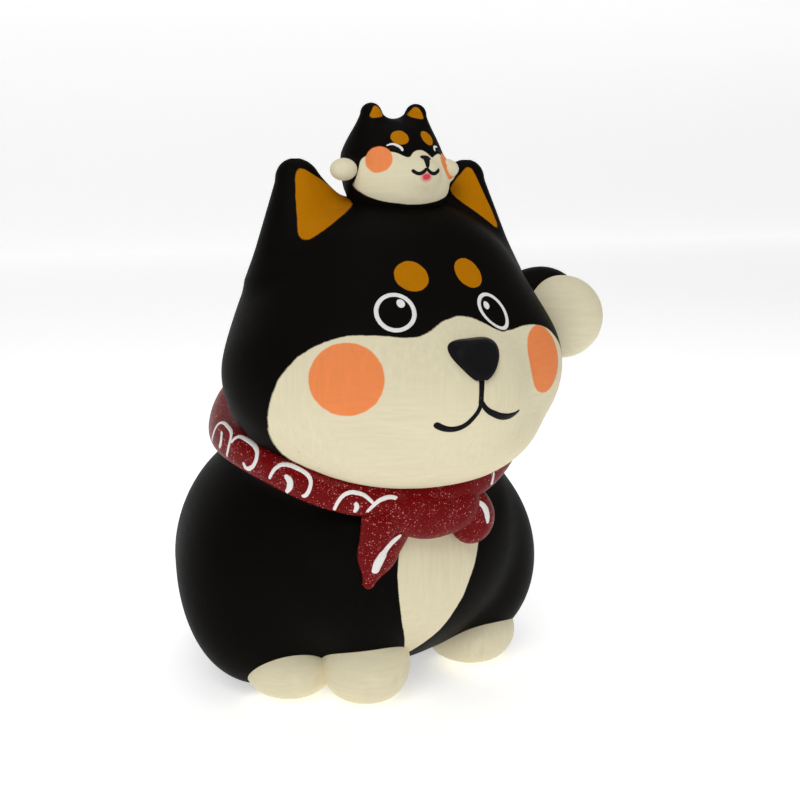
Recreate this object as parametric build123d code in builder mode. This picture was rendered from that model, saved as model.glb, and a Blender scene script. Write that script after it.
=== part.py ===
from build123d import *
from math import asin, cos, pi, sin, sqrt
import os

# A seated-dog coin bank with a puppy resting on its head, moulded in soft vinyl.
# Millimetres. X points to the dog's left, Y to its back, Z up.
# The origin lies on the table, on the dog's middle plane.
# Sizes of rounded masses are (width, depth, height) unless a comment says otherwise.

# ---------------------------------------------------------------- walls and fits
wall = 3.0
fit_clearance = 0.05        # radial, rubber ribs in their bore
plug_clearance = 0.7        # radial, the plug between its ribs
flange_clearance = 0.6      # radial, stopper flange in its recess
seat_gap = 0.3              # under the recess ceiling, so that the flange stays free to pull
table_gap = 0.5             # stopper above the table
cut_reach = 3               # a cutting block is this many times the size that it clears

# ---------------------------------------------------------------- body
body_width = 124.0
body_depth = 124.0
body_height = 100.0
belly_lift = 4.0            # lowest point of the round belly above the table
belly_offset = 1.0          # belly centre behind the origin
rump_size = (120.0, 108.0, 81.0)
rump_overhang = 4.0         # rump stands out behind the belly
rump_cut = 3.5              # height taken off the rump by the flat base
chest_size = (92.0, 80.0, 64.0)
chest_setback = 2.0
haunch_size = (52.0, 58.0, 72.0)
haunch_bulge = 3.0          # haunch stands out beside the belly
haunch_setback = 25.0
haunch_cut = 1.0

# ---------------------------------------------------------------- legs and feet
shoulder_radius = 15.5
ankle_radius = 13.0
foreleg_out = 19.0          # shoulder from the middle plane
foreleg_setback = 15.5
shoulder_height = 60.0
ankle_out = 13.0
ankle_reach = 39.0          # ankle ahead of the origin
ankle_height = 18.0
forefoot_size = (31.0, 34.0, 26.0)
forefoot_out = 12.5
right_hind_foot_size = (31.0, 34.0, 25.0)
left_hind_foot_size = (34.0, 36.0, 25.0)
right_hind_foot_out = 34.0
left_hind_foot_out = 37.0
foot_flat = 0.5             # height taken off each foot by the table
foot_reach = 22.5           # hind feet centres ahead of the origin
forefoot_reach = 38.0

# ---------------------------------------------------------------- tail
tail_thickness = 15.0
tail_curl_radius = 8.0
tail_turn = 235.0           # degrees of curl
tail_height = 60.0
tail_sink = 10.0            # how deep the curl sits in the rump

# ---------------------------------------------------------------- head
head_sink = 28.0            # head ball below the top of the body
cheek_size = (115.0, 89.0, 70.0)
skull_size = (103.0, 81.0, 87.0)
head_height = 95.5
head_forward = 19.0         # cheeks centre ahead of the chest centre
skull_setback = 9.0
muzzle_size = (40.0, 28.0, 30.0)
muzzle_out = 8.5
muzzle_rise = 3.0
nose_size = (18.4, 11.0, 12.0)
nose_rise = 13.5            # nose centre above the cheeks centre
nose_proud = 3.0
ear_root_radius = 19.0
ear_tip_radius = 5.5
ear_length = 28.0
ear_flatness = 0.83
ear_out = 29.0
ear_splay = 2.5
ear_sink = 25.5             # ear root centre below the crown
ear_setback = 11.0

# ---------------------------------------------------------------- coin path
slot_length = 40.0
slot_width = 5.0
slot_drop = 33.5            # slot below the crown, in the back of the head
neck_hole_radius = 22.0
neck_hole_forward = 9.0
bore_radius = 17.0          # a 34 mm hole lets every common coin out
bore_offset = 14.0          # stopper axis behind the origin
recess_step = 3.5           # recess wider than the bore, all round
boss_wall = 3.5             # round the recess
boss_height = 11.0

# ---------------------------------------------------------------- stopper
flange_thickness = 2.2
plug_length = 11.0
plug_lead = 1.4             # chamfer at the inner end
rib_height = 1.6
rib_rounding = 0.53
rib_positions = (2.2, 6.0)  # rib centres above the flange
grip_wall = 3.8             # plug wall round the grip
grip_floor = 4.7            # plug left above the grip
grip_bar_width = 5.0
grip_bar_height = 6.5       # less than the grip's depth, so that a nail goes over the bar
grip_bar_root = 0.5         # each end of the bar runs this far into the plug wall

# ---------------------------------------------------------------- scarf
scarf_radius = 49.0
scarf_thickness = 11.0
scarf_width = 15.0
scarf_drop = 9.5            # ring centre below the top of the body
scarf_shift = 3.0           # ring centre towards the dog's right
scarf_pitch = 20.7          # degrees, front edge down
scarf_roll = 9.5            # degrees, raised on the side of the lifted arm
neck_sink = 1.0             # the ring's inside sits this deep in the neck
neck_height = 32.0
knot_size = (32.0, 13.0, 19.0)
knot_shift = 1.0            # knot centre towards the dog's right
knot_rise = 0.5             # above the lowest place of the ring
pointed_tail_root_radius = 8.0
pointed_tail_tip_radius = 2.0
pointed_tail_length = 22.0
pointed_tail_inset = 1.5    # root inside the knot's end
pointed_tail_setback = 1.0  # root behind the knot centre
pointed_tail_drop = 4.0     # root below the knot centre
pointed_tail_lean = 13.0    # degrees, towards the dog's right
pointed_tail_slope = 0.2    # setback for each millimetre of length
pointed_tail_flatness = 0.55
round_tail_size = (20.0, 12.0, 22.0)
round_tail_out = 19.0       # from the middle plane, on the dog's left
round_tail_setback = 3.0    # behind the knot centre
round_tail_drop = 4.0       # below the knot centre

# ---------------------------------------------------------------- raised arm
arm_radius = 14.0
arm_inset = 16.0            # shoulder inside the body's side
arm_root_setback = 30.0     # shoulder behind the cheeks centre
arm_root_drop = 34.0        # shoulder below the top of the body
arm_gap = 0.5               # arm's end outside the cheek
arm_setback = 17.0          # arm's end behind the cheeks centre
arm_rise = 16.0             # arm's end above the cheeks centre
wrist_offset = (4.0, -6.0, 4.0)     # from the arm's end
wrist_size = (30.0, 26.0, 26.0)
paw_offset = (11.5, -12.0, 0.5)     # from the arm's end
paw_size = (28.0, 26.0, 31.0)

# ---------------------------------------------------------------- puppy
puppy_face_size = (34.0, 32.0, 23.0)
puppy_crown_size = (35.0, 30.0, 30.0)
puppy_sink = 8.0            # face lump below the crown of the big head
puppy_forward = 7.0         # puppy ahead of the skull centre
puppy_crown_setback = 5.0
puppy_crown_rise = 6.0      # crown centre above the face centre
puppy_ear_out = 6.9
puppy_ear_setback = 4.0
puppy_ear_rise = 10.0       # ear root above the face centre
puppy_ear_radius = 9.0
puppy_ear_tip_radius = 3.2
puppy_ear_tilt = 1.0        # ear tip ahead of its root
puppy_ear_length = 12.5
puppy_arm_radius = 5.0
puppy_arm_setback = 2.0
puppy_arm_length = 6.0
puppy_wrist_radius = 4.0
puppy_wrist_inset = 3.0     # wrist inside the paw centre
puppy_paw_size = (10.4, 9.6, 9.0)
puppy_paw_out = 21.5
puppy_paw_forward = 4.0     # paws ahead of the face centre
puppy_paw_rise = 4.5        # paws above the face centre

DEGREE = pi / 180
QUARTER = pi / 2


class Mass:
    """A rounded mass: a ball stretched to a width, a depth and a height."""

    def __init__(self, centre, size):
        self.x, self.y, self.z = centre
        self.width, self.depth, self.height = size

    def solid(self, inset=0.0):
        """The mass itself, or its hollow when it is inset by a wall."""
        halves = [size / 2 - inset for size in (self.width, self.depth, self.height)]
        with BuildPart() as ball:
            Sphere(1)
            scale(by=tuple(halves))
        return Pos(self.x, self.y, self.z) * ball.part

    def front(self, x, z):
        """Y of the front surface at a place across and up."""
        across = 2 * (x - self.x) / self.width
        up = 2 * (z - self.z) / self.height
        return self.y - self.depth / 2 * sqrt(max(0.0, 1 - across**2 - up**2))

    def back(self, x, z):
        """Y of the back surface at a place across and up."""
        return 2 * self.y - self.front(x, z)

    def top(self, x, y):
        """Z of the top surface at a place across and back."""
        across = 2 * (x - self.x) / self.width
        along = 2 * (y - self.y) / self.depth
        return self.z + self.height / 2 * sqrt(max(0.0, 1 - across**2 - along**2))


def tapered_rod(root, root_radius, tip, tip_radius, flatness=1.0):
    """A straight limb with round ends; flatness squeezes it front to back."""
    start = Vector(*root)
    reach = Vector(*tip) - start
    lean = asin((root_radius - tip_radius) / reach.length)
    root_touch = (root_radius * cos(lean), root_radius * sin(lean))
    tip_touch = (tip_radius * cos(lean), reach.length + tip_radius * sin(lean))
    root_mid = (root_radius * cos((lean - QUARTER) / 2), root_radius * sin((lean - QUARTER) / 2))
    tip_mid = (
        tip_radius * cos((lean + QUARTER) / 2),
        reach.length + tip_radius * sin((lean + QUARTER) / 2),
    )
    with BuildPart() as rod:
        with BuildSketch(Plane.XZ):
            with BuildLine():
                ThreePointArc((0, -root_radius), root_mid, root_touch)
                Line(root_touch, tip_touch)
                ThreePointArc(tip_touch, tip_mid, (0, reach.length + tip_radius))
                Line((0, reach.length + tip_radius), (0, -root_radius))
            make_face()
        revolve(axis=Axis.Z)
        if flatness != 1.0:
            scale(by=(1, flatness, 1))
    return Plane(origin=start, x_dir=(1, 0, 0), z_dir=reach).location * rod.part


def save(piece, name):
    """Label a finished piece and write it to its own file."""
    piece.part.label = name
    export_step(piece.part, f"parts/{name}.step")


# ---------------------------------------------------------------- where things are
belly = Mass((0, belly_offset, belly_lift + body_height / 2), (body_width, body_depth, body_height))
body_front = belly_offset - body_depth / 2
body_back = belly_offset + body_depth / 2
body_top = belly_lift + body_height

rump = Mass((0, body_back + rump_overhang - rump_size[1] / 2, rump_size[2] / 2 - rump_cut), rump_size)
chest_y = body_front + chest_setback + chest_size[1] / 2
chest = Mass((0, chest_y, body_top - chest_size[2] / 2), chest_size)
haunch_x = body_width / 2 + haunch_bulge - haunch_size[0] / 2
haunch_y = body_front + haunch_setback + haunch_size[1] / 2
haunch_z = haunch_size[2] / 2 - haunch_cut
right_haunch = Mass((-haunch_x, haunch_y, haunch_z), haunch_size)
left_haunch = Mass((haunch_x, haunch_y, haunch_z), haunch_size)

cheek_y = chest_y - head_forward
head_base = body_top - head_sink
crown = head_base + head_height
cheeks = Mass((0, cheek_y, head_base + cheek_size[2] / 2), cheek_size)
skull = Mass((0, cheek_y + skull_setback, crown - skull_size[2] / 2), skull_size)
muzzle_y = cheek_y - cheek_size[1] / 2 - muzzle_out + muzzle_size[1] / 2
muzzle = Mass((0, muzzle_y, cheeks.z + muzzle_rise), muzzle_size)

neck = Plane((-scarf_shift, chest_y, body_top - scarf_drop)).rotated((scarf_pitch, -scarf_roll, 0))

bore_centre = Pos(0, bore_offset, 0)
recess_radius = bore_radius + recess_step
recess_depth = table_gap + flange_thickness + seat_gap
boss_radius = recess_radius + boss_wall

# Solids that several pieces are cut from or rest against.
body_masses = [belly, rump, chest, right_haunch, left_haunch]
neck_width = 2 * (scarf_radius - scarf_thickness / 2 + neck_sink)
neck_mass = Mass((0, 0, 0), (neck_width, neck_width, neck_height))
body_outside = [mass.solid() for mass in body_masses] + [neck.location * neck_mass.solid()]
body_inside = [mass.solid(wall) for mass in body_masses] + [neck.location * neck_mass.solid(wall)]
head_outside = [cheeks.solid(), skull.solid()]
head_inside = [cheeks.solid(wall), skull.solid(wall)]
muzzle_solid = muzzle.solid()
ears = [
    tapered_rod(
        (side * ear_out, cheek_y + ear_setback, crown - ear_sink),
        ear_root_radius,
        (side * (ear_out + ear_splay), cheek_y + ear_setback, crown - ear_sink + ear_length),
        ear_tip_radius,
        ear_flatness,
    )
    for side in (-1, 1)
]

upwards = (Align.CENTER, Align.CENTER, Align.MIN)
os.makedirs("parts", exist_ok=True)

# ---------------------------------------------------------------- hollow body with its flat base
floor_size = (cut_reach * body_width, cut_reach * body_depth, body_height)
floor_block = Pos(0, 0, -body_height / 2) * Box(*floor_size)
cavity_floor = Pos(0, 0, wall - body_height / 2) * Box(*floor_size)

with BuildPart() as body_cavity:
    add(body_inside)
    add(cavity_floor, mode=Mode.SUBTRACT)
    with Locations(bore_centre):
        Cylinder(boss_radius, boss_height, align=upwards, mode=Mode.SUBTRACT)

with BuildPart() as body_shell:
    add(body_outside)
    add(floor_block, mode=Mode.SUBTRACT)
    add(body_cavity.part, mode=Mode.SUBTRACT)
    with Locations(bore_centre):
        Cylinder(bore_radius, cut_reach * boss_height, mode=Mode.SUBTRACT)
        Cylinder(recess_radius, 2 * recess_depth, mode=Mode.SUBTRACT)
    add(head_outside, mode=Mode.SUBTRACT)
save(body_shell, "body_shell")

# ---------------------------------------------------------------- feet
forefoot = Mass(
    (-forefoot_out, -forefoot_reach, forefoot_size[2] / 2 - foot_flat), forefoot_size
)
right_hind = Mass(
    (-right_hind_foot_out, -foot_reach, right_hind_foot_size[2] / 2 - foot_flat), right_hind_foot_size
)
left_hind = Mass(
    (left_hind_foot_out, -foot_reach, left_hind_foot_size[2] / 2 - foot_flat), left_hind_foot_size
)
forefoot_solid = forefoot.solid()

with BuildPart() as right_forefoot:
    add(forefoot_solid)
    add(floor_block, mode=Mode.SUBTRACT)
    add(body_outside, mode=Mode.SUBTRACT)
save(right_forefoot, "right_forefoot")

with BuildPart() as right_hind_foot:
    add(right_hind.solid())
    add(floor_block, mode=Mode.SUBTRACT)
    add(body_outside, mode=Mode.SUBTRACT)
    add(forefoot_solid, mode=Mode.SUBTRACT)
save(right_hind_foot, "right_hind_foot")

with BuildPart() as left_hind_foot:
    add(left_hind.solid())
    add(floor_block, mode=Mode.SUBTRACT)
    add(body_outside, mode=Mode.SUBTRACT)
save(left_hind_foot, "left_hind_foot")

# ---------------------------------------------------------------- standing foreleg
foreleg_rod = tapered_rod(
    (-foreleg_out, body_front + foreleg_setback, shoulder_height),
    shoulder_radius,
    (-ankle_out, -ankle_reach, ankle_height),
    ankle_radius,
)

with BuildPart() as right_foreleg:
    add(foreleg_rod)
    add(body_outside, mode=Mode.SUBTRACT)
    add(forefoot_solid, mode=Mode.SUBTRACT)
save(right_foreleg, "right_foreleg")

# ---------------------------------------------------------------- curled tail
tail_y = rump.back(0, tail_height) + tail_thickness / 2 + tail_curl_radius - tail_sink
tail_radius = tail_thickness / 2

with BuildPart() as tail:
    with BuildSketch(Plane.XY.offset(tail_height).shift_origin((0, tail_y, tail_height))):
        with Locations((0, -tail_curl_radius)):
            Circle(tail_radius)
    revolve(axis=Axis((0, tail_y, tail_height), (1, 0, 0)), revolution_arc=-tail_turn)
    with Locations(
        (0, tail_y - tail_curl_radius, tail_height),
        (
            0,
            tail_y - tail_curl_radius * cos(tail_turn * DEGREE),
            tail_height + tail_curl_radius * sin(tail_turn * DEGREE),
        ),
    ):
        Sphere(tail_radius)
    add(body_outside, mode=Mode.SUBTRACT)
save(tail, "tail")

# ---------------------------------------------------------------- hollow head with coin slot
with BuildPart() as head_shell:
    add(head_outside)
    add(muzzle_solid)
    add(ears)
    add(head_inside, mode=Mode.SUBTRACT)
    with Locations((0, chest_y - neck_hole_forward, head_base)):
        Cylinder(neck_hole_radius, cheek_size[2] / 2, mode=Mode.SUBTRACT)
    with Locations((0, skull.back(0, crown - slot_drop), crown - slot_drop)):
        Box(slot_length, skull_size[1] / 2, slot_width, mode=Mode.SUBTRACT)
save(head_shell, "head_shell")

# ---------------------------------------------------------------- nose
nose_z = cheeks.z + nose_rise
nose_y = muzzle.front(0, nose_z) - nose_proud + nose_size[1] / 2

with BuildPart() as nose:
    add(Mass((0, nose_y, nose_z), nose_size).solid())
    add(muzzle_solid, mode=Mode.SUBTRACT)
    add(head_outside, mode=Mode.SUBTRACT)
save(nose, "nose")

# ---------------------------------------------------------------- scarf
ring_section = Plane(neck.origin, x_dir=neck.x_dir, z_dir=-neck.y_dir)
ring_front = neck.from_local_coords((0, -scarf_radius, 0))
knot_centre = ring_front + Vector(scarf_shift - knot_shift, 0, knot_rise)
knot_solid = Mass(tuple(knot_centre), knot_size).solid()

with BuildPart() as scarf_ring:
    with BuildSketch(ring_section):
        with Locations((scarf_radius, 0)):
            Ellipse(scarf_thickness / 2, scarf_width / 2)
    revolve(axis=Axis(neck.origin, neck.z_dir))

with BuildPart() as scarf_band:
    add(scarf_ring.part)
    add(knot_solid, mode=Mode.SUBTRACT)
    add(head_outside, mode=Mode.SUBTRACT)
    add(body_outside + [foreleg_rod], mode=Mode.SUBTRACT)
save(scarf_band, "scarf_band")

with BuildPart() as scarf_knot:
    add(knot_solid)
    add(head_outside, mode=Mode.SUBTRACT)
    add(body_outside + [foreleg_rod], mode=Mode.SUBTRACT)
save(scarf_knot, "scarf_knot")

lean = pointed_tail_lean * DEGREE
pointed_root = knot_centre + Vector(
    pointed_tail_inset - knot_size[0] / 2, pointed_tail_setback, -pointed_tail_drop
)
pointed_tip = pointed_root + pointed_tail_length * Vector(-sin(lean), pointed_tail_slope, -cos(lean))

with BuildPart() as scarf_tail_right:
    add(
        tapered_rod(
            pointed_root,
            pointed_tail_root_radius,
            pointed_tip,
            pointed_tail_tip_radius,
            pointed_tail_flatness,
        )
    )
    add([knot_solid, scarf_ring.part], mode=Mode.SUBTRACT)
    add(body_outside + [foreleg_rod], mode=Mode.SUBTRACT)
    add(head_outside, mode=Mode.SUBTRACT)
save(scarf_tail_right, "scarf_tail_right")

round_tail = Mass(
    (round_tail_out, knot_centre.Y + round_tail_setback, knot_centre.Z - round_tail_drop), round_tail_size
)

with BuildPart() as scarf_tail_left:
    add(round_tail.solid())
    add([knot_solid, scarf_ring.part], mode=Mode.SUBTRACT)
    add(body_outside + [foreleg_rod], mode=Mode.SUBTRACT)
    add(head_outside, mode=Mode.SUBTRACT)
save(scarf_tail_left, "scarf_tail_left")

# ---------------------------------------------------------------- raised arm and paw
arm_root = Vector(body_width / 2 - arm_inset, cheek_y + arm_root_setback, body_top - arm_root_drop)
arm_tip = Vector(cheek_size[0] / 2 + arm_gap, cheek_y + arm_setback, cheeks.z + arm_rise)
wrist = Mass(arm_tip + Vector(*wrist_offset), wrist_size).solid()
paw = Mass(arm_tip + Vector(*paw_offset), paw_size).solid()

with BuildPart() as raised_paw:
    add(paw)
    add(head_outside, mode=Mode.SUBTRACT)
save(raised_paw, "raised_paw")

with BuildPart() as raised_arm:
    add(tapered_rod(arm_root, arm_radius, arm_tip, arm_radius))
    add(wrist)
    add(paw, mode=Mode.SUBTRACT)
    add(head_outside, mode=Mode.SUBTRACT)
    add(body_outside, mode=Mode.SUBTRACT)
    add(scarf_ring.part, mode=Mode.SUBTRACT)
save(raised_arm, "raised_arm")

# ---------------------------------------------------------------- puppy on the head
puppy_y = skull.y - puppy_forward
puppy_z = skull.top(0, puppy_y) - puppy_sink + puppy_face_size[2] / 2
puppy_paw_y = puppy_y - puppy_paw_forward
puppy_paw_z = puppy_z + puppy_paw_rise
puppy_wrist_x = puppy_paw_out - puppy_wrist_inset
puppy_ear_z = puppy_z + puppy_ear_rise
puppy_face = Mass((0, puppy_y, puppy_z), puppy_face_size).solid()
puppy_crown = Mass(
    (0, puppy_y + puppy_crown_setback, puppy_z + puppy_crown_rise), puppy_crown_size
).solid()
puppy_ears = [
    tapered_rod(
        (side * puppy_ear_out, puppy_y + puppy_ear_setback, puppy_ear_z),
        puppy_ear_radius,
        (
            side * puppy_ear_out,
            puppy_y + puppy_ear_setback - puppy_ear_tilt,
            puppy_ear_z + puppy_ear_length,
        ),
        puppy_ear_tip_radius,
    )
    for side in (-1, 1)
]
puppy_arms = [
    tapered_rod(
        (side * (puppy_wrist_x - puppy_arm_length), puppy_y + puppy_arm_setback, puppy_paw_z),
        puppy_arm_radius,
        (side * puppy_wrist_x, puppy_paw_y, puppy_paw_z),
        puppy_wrist_radius,
    )
    for side in (-1, 1)
]
puppy_paw_balls = [
    Mass((side * puppy_paw_out, puppy_paw_y, puppy_paw_z), puppy_paw_size).solid() for side in (-1, 1)
]

with BuildPart() as puppy:
    add([puppy_face, puppy_crown])
    add(puppy_ears)
    add(puppy_arms)
    add(puppy_paw_balls, mode=Mode.SUBTRACT)
    add(head_outside, mode=Mode.SUBTRACT)
    add(ears, mode=Mode.SUBTRACT)
save(puppy, "puppy")

for side_name, ball in zip(("right", "left"), puppy_paw_balls):
    with BuildPart() as puppy_paw:
        add(ball)
        add(head_outside, mode=Mode.SUBTRACT)
        add(ears, mode=Mode.SUBTRACT)
    save(puppy_paw, f"puppy_{side_name}_paw")

# ---------------------------------------------------------------- rubber stopper
flange_radius = recess_radius - flange_clearance
flange_top = recess_depth - seat_gap
flange_bottom = flange_top - flange_thickness
rib_radius = bore_radius - fit_clearance
plug_radius = bore_radius - plug_clearance
grip_radius = plug_radius - grip_wall
grip_depth = flange_thickness + plug_length - grip_floor

with BuildPart() as stopper:
    with BuildSketch(Plane.XY.offset(flange_bottom)):
        with Locations((0, bore_offset)):
            Circle(flange_radius)
    extrude(amount=flange_thickness)
    with BuildSketch(Plane.XY.offset(flange_top)):
        with Locations((0, bore_offset)):
            Circle(plug_radius)
    extrude(amount=plug_length)
    chamfer(stopper.edges().sort_by(Axis.Z)[-1], plug_lead)
    for height in rib_positions:
        with Locations((0, bore_offset, flange_top + height)):
            Cylinder(rib_radius, rib_height)
    rib_edges = stopper.edges().filter_by(GeomType.CIRCLE).filter_by(
        lambda edge: abs(edge.radius - rib_radius) < fit_clearance / 2
    )
    fillet(rib_edges, rib_rounding)
    with Locations((0, bore_offset, flange_bottom)):
        Cylinder(grip_radius, grip_depth, align=upwards, mode=Mode.SUBTRACT)
        Box(2 * (grip_radius + grip_bar_root), grip_bar_width, grip_bar_height, align=upwards)
save(stopper, "stopper")
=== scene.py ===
import math

import bpy
import numpy as np
from mathutils import Matrix, Vector


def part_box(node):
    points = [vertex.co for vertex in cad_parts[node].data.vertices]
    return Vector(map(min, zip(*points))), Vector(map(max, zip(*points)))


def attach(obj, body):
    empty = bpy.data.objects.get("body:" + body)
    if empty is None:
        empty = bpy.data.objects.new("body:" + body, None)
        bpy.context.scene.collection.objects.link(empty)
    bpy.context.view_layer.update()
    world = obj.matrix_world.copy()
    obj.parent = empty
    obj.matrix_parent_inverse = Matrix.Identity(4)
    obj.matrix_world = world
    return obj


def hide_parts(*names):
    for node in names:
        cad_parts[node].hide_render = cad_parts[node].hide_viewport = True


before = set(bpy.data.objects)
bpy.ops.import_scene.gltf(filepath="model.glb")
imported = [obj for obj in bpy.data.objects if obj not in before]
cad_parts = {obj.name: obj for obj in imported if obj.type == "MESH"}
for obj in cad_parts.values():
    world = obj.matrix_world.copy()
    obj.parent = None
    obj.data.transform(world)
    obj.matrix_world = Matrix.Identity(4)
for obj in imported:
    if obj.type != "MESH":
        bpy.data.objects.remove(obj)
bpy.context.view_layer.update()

MM = 0.001
TINY = 1e-9
DRAFT = 1.0


# ---------------------------------------------------------------- camera, floor, light
CAMERA_LENS = 54.19
CAMERA_SENSOR = 36.0
CAMERA_PLACE = (-0.17427, -0.39003, 0.17602)
CAMERA_DOWN = 10.42
CAMERA_HEADING = -26.42
RIGHT_ANGLE = 90


def place_camera():
    data = bpy.data.cameras.new("camera")
    data.lens = CAMERA_LENS
    data.sensor_width = CAMERA_SENSOR
    camera = bpy.data.objects.new("camera", data)
    camera.location = CAMERA_PLACE
    camera.rotation_euler = (math.radians(RIGHT_ANGLE - CAMERA_DOWN), 0, math.radians(CAMERA_HEADING))
    bpy.context.scene.collection.objects.link(camera)
    bpy.context.scene.camera = camera


# Each lamp is (name, place in metres, size in metres, power in watts).
LAMPS = (
    ("key_light", (-0.55, -0.75, 0.95), 0.6, 5.2),
    ("top_light", (0.1, 0.0, 1.3), 0.9, 3.6),
    ("fill_light", (1.0, -0.6, 0.5), 0.8, 0.8),
)
LAMP_AIM = (0, 0, 0.1)
WORLD_STRENGTH = 0.24
PAPER_REACH = 2.5
PAPER_BEND = 0.8
PAPER_RISE = 2.5
PAPER_STEPS = 12
PAPER_WHITE = 0.93
PAPER_ROUGHNESS = 0.95
PAPER_GLOW = 0.52


def area_light(name, place, size, power):
    data = bpy.data.lights.new(name, "AREA")
    data.size = size
    data.energy = power
    light = bpy.data.objects.new(name, data)
    light.location = place
    light.rotation_euler = (Vector(LAMP_AIM) - Vector(place)).to_track_quat("-Z", "Y").to_euler()
    bpy.context.scene.collection.objects.link(light)


def build_studio():
    """A white table that curves up behind into a white wall, under soft lamps."""
    section = [(-PAPER_REACH, 0.0)]
    for step in range(PAPER_STEPS + 1):
        turn = math.radians(RIGHT_ANGLE * step / PAPER_STEPS)
        section.append((PAPER_REACH + PAPER_BEND * math.sin(turn), PAPER_BEND - PAPER_BEND * math.cos(turn)))
    section.append((PAPER_REACH + PAPER_BEND, PAPER_RISE))
    corners = [(side * 2 * PAPER_REACH, y, z) for y, z in section for side in (-1, 1)]
    strips = [(2 * i, 2 * i + 1, 2 * i + 3, 2 * i + 2) for i in range(len(section) - 1)]
    mesh = bpy.data.meshes.new("backdrop")
    mesh.from_pydata(corners, [], strips)
    mesh.shade_smooth()
    backdrop = bpy.data.objects.new("backdrop", mesh)
    bpy.context.scene.collection.objects.link(backdrop)
    material = bpy.data.materials.new("pale_paper")
    material.use_nodes = True
    shader = material.node_tree.nodes["Principled BSDF"]
    shader.inputs["Base Color"].default_value = (PAPER_WHITE, PAPER_WHITE, PAPER_WHITE, 1)
    shader.inputs["Roughness"].default_value = PAPER_ROUGHNESS
    shader.inputs["Specular IOR Level"].default_value = 0.0
    shader.inputs["Emission Color"].default_value = (1, 1, 1, 1)
    shader.inputs["Emission Strength"].default_value = PAPER_GLOW
    mesh.materials.append(material)

    world = bpy.data.worlds.new("studio")
    world.use_nodes = True
    world.node_tree.nodes["Background"].inputs["Color"].default_value = (1, 1, 1, 1)
    world.node_tree.nodes["Background"].inputs["Strength"].default_value = WORLD_STRENGTH
    bpy.context.scene.world = world
    bpy.context.scene.view_settings.view_transform = "Standard"
    for lamp in LAMPS:
        area_light(*lamp)


# ---------------------------------------------------------------- solid shapes as distance fields
# A field takes points (n, 3) in millimetres and gives distances, negative inside.
def ball(p, centre, half):
    q = (p - centre) / half
    k = np.linalg.norm(q, axis=1)
    slope = np.linalg.norm(q / half, axis=1)
    return k * (k - 1) / np.maximum(slope, TINY)


def rod(p, start, start_radius, end, end_radius):
    start, end = np.asarray(start, float), np.asarray(end, float)
    along = end - start
    t = np.clip((p - start) @ along / (along @ along), 0, 1)
    radius = start_radius + (end_radius - start_radius) * t
    return np.linalg.norm(p - start - t[:, None] * along, axis=1) - radius


def block(p, centre, half, rounding=0.0):
    q = np.abs(p - centre) - (np.asarray(half) - rounding)
    outside = np.linalg.norm(np.maximum(q, 0), axis=1)
    return outside + np.minimum(q.max(axis=1), 0) - rounding


def merge(a, b, soft):
    """Union of two fields with a soft crease."""
    h = np.clip(0.5 + 0.5 * (b - a) / soft, 0, 1)
    return b * (1 - h) + a * h - soft * h * (1 - h)


def cut(a, b, soft):
    """Field a with field b taken away, the edge rounded."""
    return -merge(-a, b, soft)


def common(a, b, soft):
    return -merge(-a, -b, soft)


def lump(form, p, middle, shape, inset=0.0):
    """Merge a ball into a form. Its shape is (offset from a middle, half sizes, softness of the crease)."""
    offset, half, soft = shape
    return merge(form, ball(p, middle + offset, np.array(half) - inset), soft)


def limb(p, middle, shape):
    """A rod given as (start, its radius, end, its radius), the ends as offsets from a middle."""
    start, start_radius, end, end_radius = shape
    return rod(p, middle + start, start_radius, middle + end, end_radius)


def mirrored(p):
    q = p.copy()
    q[:, 0] = np.abs(q[:, 0])
    return q


def downhill(field, p, reach=0.05):
    """Value and unit-scaled gradient of a field at points."""
    value = field(p)
    slope = np.empty_like(p)
    for axis in range(3):
        step = np.zeros(3)
        step[axis] = reach
        slope[:, axis] = (field(p + step) - field(p - step)) / (2 * reach)
    return value, slope


CORNERS = [(x, y, z) for x in (0, 1) for y in (0, 1) for z in (0, 1)]
CELL_EDGES = [
    (a, b) for a in CORNERS for b in CORNERS
    if a < b and sum(abs(i - j) for i, j in zip(a, b)) == 1
]
SKIN_MARGIN = 2.5  # cells left free round the box
SETTLE_ROUNDS = 3
LEAST_SLOPE = 0.05
LONGEST_MOVE = 0.4  # share of a cell


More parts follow.
